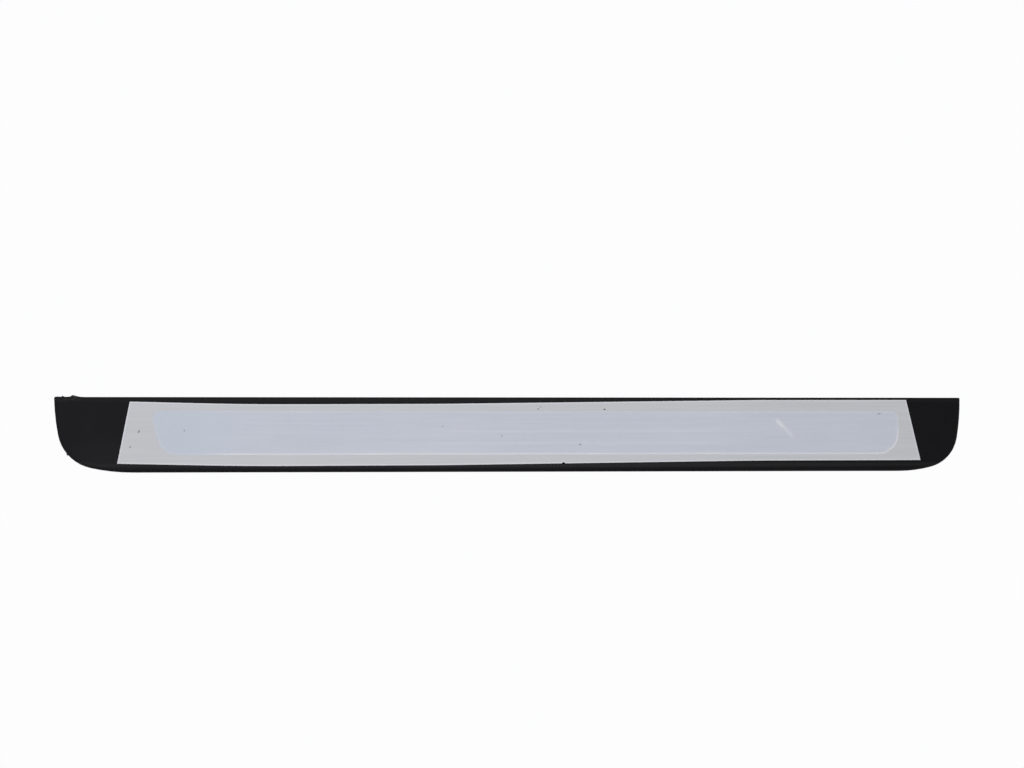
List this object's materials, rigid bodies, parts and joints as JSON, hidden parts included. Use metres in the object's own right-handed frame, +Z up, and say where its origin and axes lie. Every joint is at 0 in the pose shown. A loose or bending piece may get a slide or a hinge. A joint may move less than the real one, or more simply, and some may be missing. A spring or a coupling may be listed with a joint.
{
  "type": "car door sill plate",
  "caption": "Moulded door sill trim with a straight inner edge, rounded outer corners, a bonded metal inlay under clear film, and snap clips, seals, foam pads and locating pins beneath.",
  "frame": {"origin": "middle of the carrier's footprint, on the seat plane where its skirt and ribs meet the body sill", "axes": "+X along the sill towards the end with the shorter cap, +Y towards the cabin (the straight inner edge), +Z up out of the visible face"},
  "size_m": [0.565, 0.0462, 0.0198],
  "materials": {
    "carrier_plastic": "black moulded plastic with a fine grain, scuffed at one inner corner",
    "inlay_aluminium": "satin anodised, fine lengthwise brushing, a bright bevelled edge",
    "acrylic_tape": "dark double-sided foam tape",
    "clear_film": "clear protective film with a faint blue tint",
    "clip_plastic": "natural white acetal",
    "seal_rubber": "soft black sealing rubber",
    "pad_foam": "charcoal open-cell anti-rattle foam"
  },
  "bodies": {
    "root": {"sill_carrier": "carrier_plastic", "trim_plate": "inlay_aluminium", "bonding_tape": "acrylic_tape", "protective_film": "clear_film", "clip_1": "clip_plastic", "clip_2": "clip_plastic", "clip_3": "clip_plastic", "clip_4": "clip_plastic", "clip_5": "clip_plastic", "clip_6": "clip_plastic", "clip_7": "clip_plastic", "clip_seal_1": "seal_rubber", "clip_seal_2": "seal_rubber", "clip_seal_3": "seal_rubber", "clip_seal_4": "seal_rubber", "clip_seal_5": "seal_rubber", "clip_seal_6": "seal_rubber", "clip_seal_7": "seal_rubber", "foam_pad_1": "pad_foam", "foam_pad_2": "pad_foam", "foam_pad_3": "pad_foam", "foam_pad_4": "pad_foam"}
  },
  "joints": []
}
